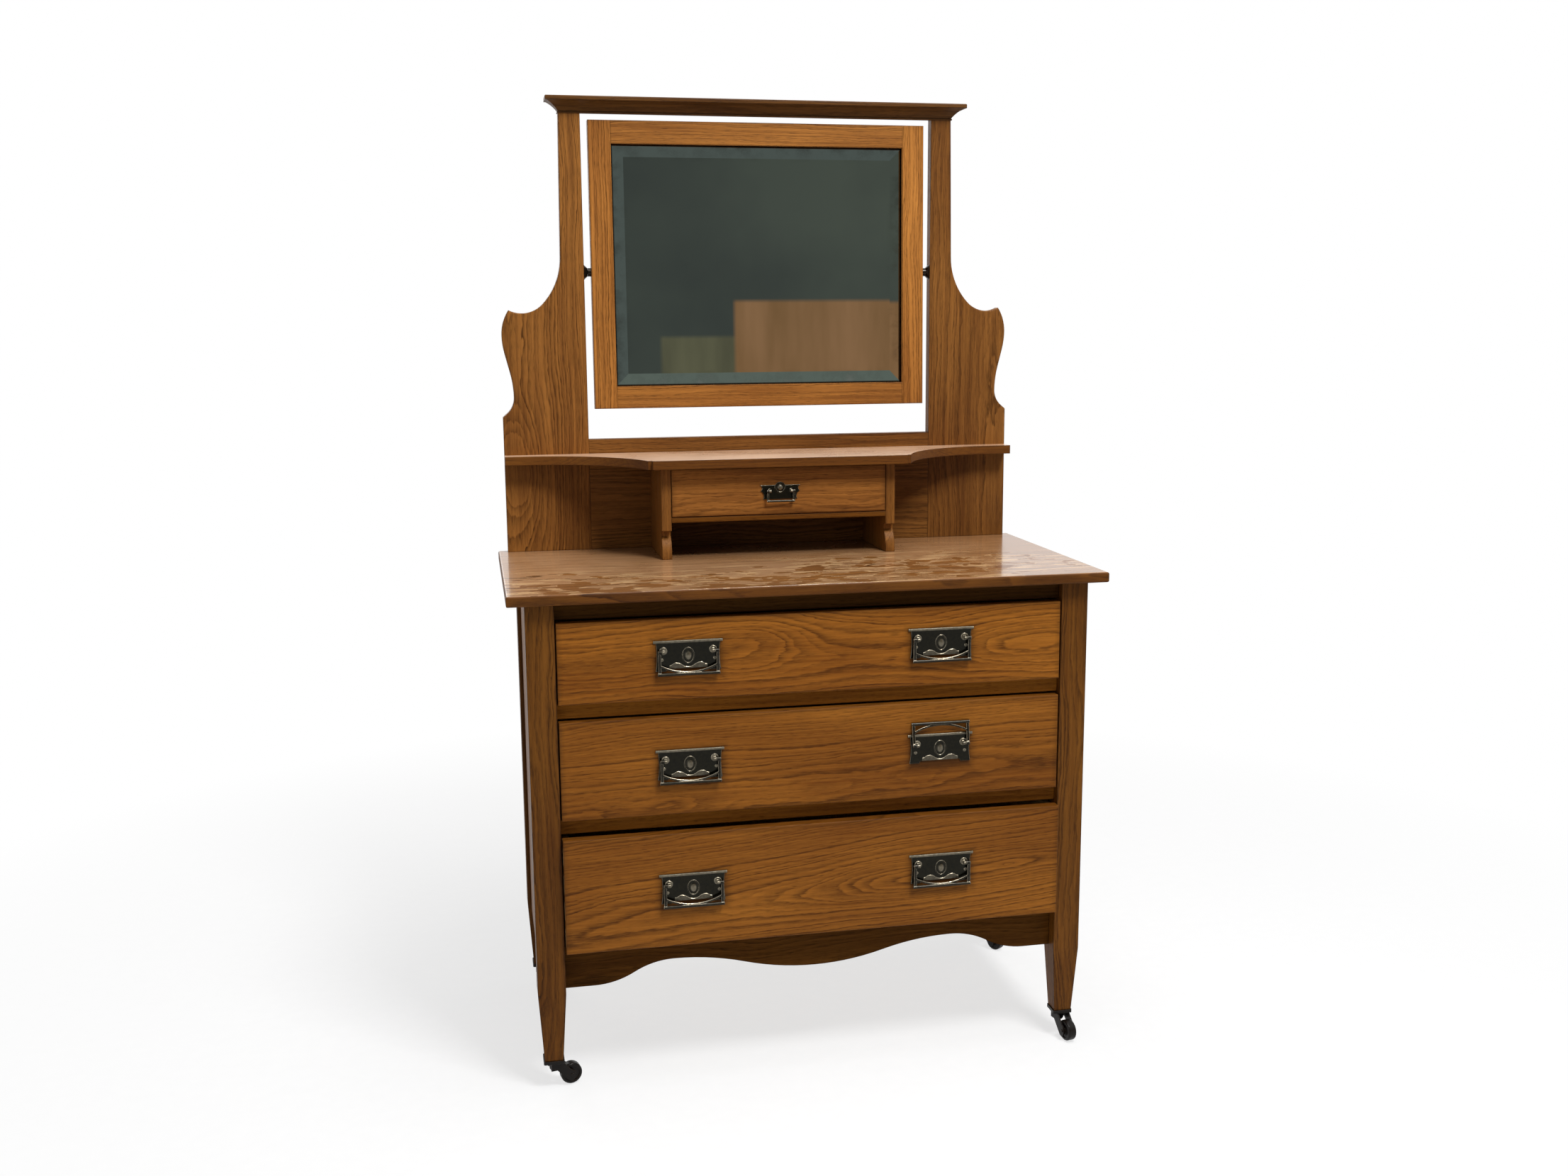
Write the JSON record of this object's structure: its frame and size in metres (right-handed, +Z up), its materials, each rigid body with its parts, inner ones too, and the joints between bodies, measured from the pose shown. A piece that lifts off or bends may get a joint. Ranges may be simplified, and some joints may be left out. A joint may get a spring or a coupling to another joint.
{
  "type": "dresser with mirror",
  "caption": "Oak dressing chest with long drawers, a shaped shelf over a trinket drawer, and a bevelled mirror that swings between shaped uprights.",
  "frame": {"origin": "on the floor, under the middle of the dressing top", "axes": "+Z up, -Y towards the person at the drawers, +X to that person's right"},
  "size_m": [0.914, 0.4653, 1.5165],
  "materials": {
    "oak": "golden brown oak, worn wax and varnish, satin",
    "drawer_lining": "unfinished pale softwood, matt",
    "backing_board": "stained softwood, matt",
    "antique_brass": "stamped brass, dark brown patina with rubbed highlights",
    "castor_iron": "black japanned, worn",
    "silvered_glass": "silvered plate glass, polished bevel"
  },
  "bodies": {
    "case": {"top_board": "oak", "leg_front_left": "oak", "leg_front_right": "oak", "leg_rear_left": "oak", "leg_rear_right": "oak", "side_panel_left": "oak", "side_panel_right": "oak", "front_top_rail": "oak", "drawer_rails": "oak", "apron": "oak", "back_panel": "backing_board", "back_rails": "backing_board", "drawer_runners": "backing_board", "drawer_guides": "backing_board", "upright_left": "oak", "upright_right": "oak", "upright_board": "oak", "cornice": "oak", "shelf": "oak", "shelf_bracket_left": "oak", "shelf_bracket_right": "oak", "trinket_floor": "oak", "mirror_pivots": "antique_brass", "castor_plates": "castor_iron"},
    "drawer_3": {"drawer_3_front": "oak", "drawer_3_box": "drawer_lining", "drawer_3_bottom": "drawer_lining", "drawer_3_plates": "antique_brass"},
    "drawer_3_bail_left": {"drawer_3_bail_left": "antique_brass"},
    "drawer_3_bail_right": {"drawer_3_bail_right": "antique_brass"},
    "drawer_2": {"drawer_2_front": "oak", "drawer_2_box": "drawer_lining", "drawer_2_bottom": "drawer_lining", "drawer_2_plates": "antique_brass"},
    "drawer_2_bail_left": {"drawer_2_bail_left": "antique_brass"},
    "drawer_2_bail_right": {"drawer_2_bail_right": "antique_brass"},
    "drawer_1": {"drawer_1_front": "oak", "drawer_1_box": "drawer_lining", "drawer_1_bottom": "drawer_lining", "drawer_1_plates": "antique_brass"},
    "drawer_1_bail_left": {"drawer_1_bail_left": "antique_brass"},
    "drawer_1_bail_right": {"drawer_1_bail_right": "antique_brass"},
    "trinket_drawer": {"trinket_front": "oak", "trinket_box": "drawer_lining", "trinket_bottom": "drawer_lining", "trinket_plate": "antique_brass"},
    "trinket_bail": {"trinket_bail": "antique_brass"},
    "mirror": {"mirror_stiles": "oak", "mirror_rails": "oak", "mirror_glass": "silvered_glass", "mirror_backboard": "backing_board", "mirror_collars": "antique_brass"},
    "castor_front_left": {"horn_front_left": "castor_iron"},
    "wheel_front_left": {"wheel_front_left": "castor_iron"},
    "castor_front_right": {"horn_front_right": "castor_iron"},
    "wheel_front_right": {"wheel_front_right": "castor_iron"},
    "castor_rear_left": {"horn_rear_left": "castor_iron"},
    "wheel_rear_left": {"wheel_rear_left": "castor_iron"},
    "castor_rear_right": {"horn_rear_right": "castor_iron"},
    "wheel_rear_right": {"wheel_rear_right": "castor_iron"}
  },
  "joints": [
    {"name": "drawer_3_slide", "type": "slide", "parent": "case", "child": "drawer_3", "axis": [0, -1, 0], "range_m": [-0.012, 0.268]},
    {"name": "drawer_3_bail_left_swing", "type": "hinge", "parent": "drawer_3", "child": "drawer_3_bail_left", "pos_m": [-0.1945, -0.221, 0.3205], "axis": [-1, 0, 0], "range_deg": [-7.38, 187.38]},
    {"name": "drawer_3_bail_right_swing", "type": "hinge", "parent": "drawer_3", "child": "drawer_3_bail_right", "pos_m": [0.1945, -0.221, 0.3205], "axis": [-1, 0, 0], "range_deg": [-7.38, 187.38]},
    {"name": "drawer_2_slide", "type": "slide", "parent": "case", "child": "drawer_2", "axis": [0, -1, 0], "range_m": [0, 0.28]},
    {"name": "drawer_2_bail_left_swing", "type": "hinge", "parent": "drawer_2", "child": "drawer_2_bail_left", "pos_m": [-0.1945, -0.209, 0.51], "axis": [-1, 0, 0], "range_deg": [-7.38, 187.38]},
    {"name": "drawer_2_bail_right_swing", "type": "hinge", "parent": "drawer_2", "child": "drawer_2_bail_right", "pos_m": [0.1945, -0.209, 0.51], "axis": [-1, 0, 0], "range_deg": [-194.75, 0]},
    {"name": "drawer_1_slide", "type": "slide", "parent": "case", "child": "drawer_1", "axis": [0, -1, 0], "range_m": [0, 0.28]},
    {"name": "drawer_1_bail_left_swing", "type": "hinge", "parent": "drawer_1", "child": "drawer_1_bail_left", "pos_m": [-0.1945, -0.209, 0.676], "axis": [-1, 0, 0], "range_deg": [-7.38, 187.38]},
    {"name": "drawer_1_bail_right_swing", "type": "hinge", "parent": "drawer_1", "child": "drawer_1_bail_right", "pos_m": [0.1945, -0.209, 0.676], "axis": [-1, 0, 0], "range_deg": [-7.38, 187.38]},
    {"name": "trinket_drawer_slide", "type": "slide", "parent": "case", "child": "trinket_drawer", "axis": [0, -1, 0], "range_m": [0, 0.105]},
    {"name": "trinket_bail_swing", "type": "hinge", "parent": "trinket_drawer", "child": "trinket_bail", "pos_m": [0, 0.0591, 0.87905], "axis": [-1, 0, 0], "range_deg": [-17.28, 186.61]},
    {"name": "mirror_tilt", "type": "hinge", "parent": "case", "child": "mirror", "pos_m": [0, 0.227, 1.2363], "axis": [1, 0, 0], "continuous": true},
    {"name": "swivel_front_left", "type": "hinge", "parent": "case", "child": "castor_front_left", "pos_m": [-0.41, -0.181, 0.046], "axis": [0, 0, 1], "continuous": true},
    {"name": "roll_front_left", "type": "hinge", "parent": "castor_front_left", "child": "wheel_front_left", "pos_m": [-0.38457, -0.17559, 0.0165], "axis": [-0.2079, 0.9781, 0], "continuous": true},
    {"name": "swivel_front_right", "type": "hinge", "parent": "case", "child": "castor_front_right", "pos_m": [0.41, -0.181, 0.046], "axis": [0, 0, 1], "continuous": true},
    {"name": "roll_front_right", "type": "hinge", "parent": "castor_front_right", "child": "wheel_front_right", "pos_m": [0.41496, -0.20652, 0.0165], "axis": [0.9816, 0.1908, 0], "continuous": true},
    {"name": "swivel_rear_left", "type": "hinge", "parent": "case", "child": "castor_rear_left", "pos_m": [-0.41, 0.189, 0.046], "axis": [0, 0, 1], "continuous": true},
    {"name": "roll_rear_left", "type": "hinge", "parent": "castor_rear_left", "child": "wheel_rear_left", "pos_m": [-0.38644, 0.17801, 0.0165], "axis": [0.4226, 0.9063, 0], "continuous": true},
    {"name": "swivel_rear_right", "type": "hinge", "parent": "case", "child": "castor_rear_right", "pos_m": [0.41, 0.189, 0.046], "axis": [0, 0, 1], "continuous": true},
    {"name": "roll_rear_right", "type": "hinge", "parent": "castor_rear_right", "child": "wheel_rear_right", "pos_m": [0.423, 0.16648, 0.0165], "axis": [0.866, 0.5, 0], "continuous": true}
  ]
}
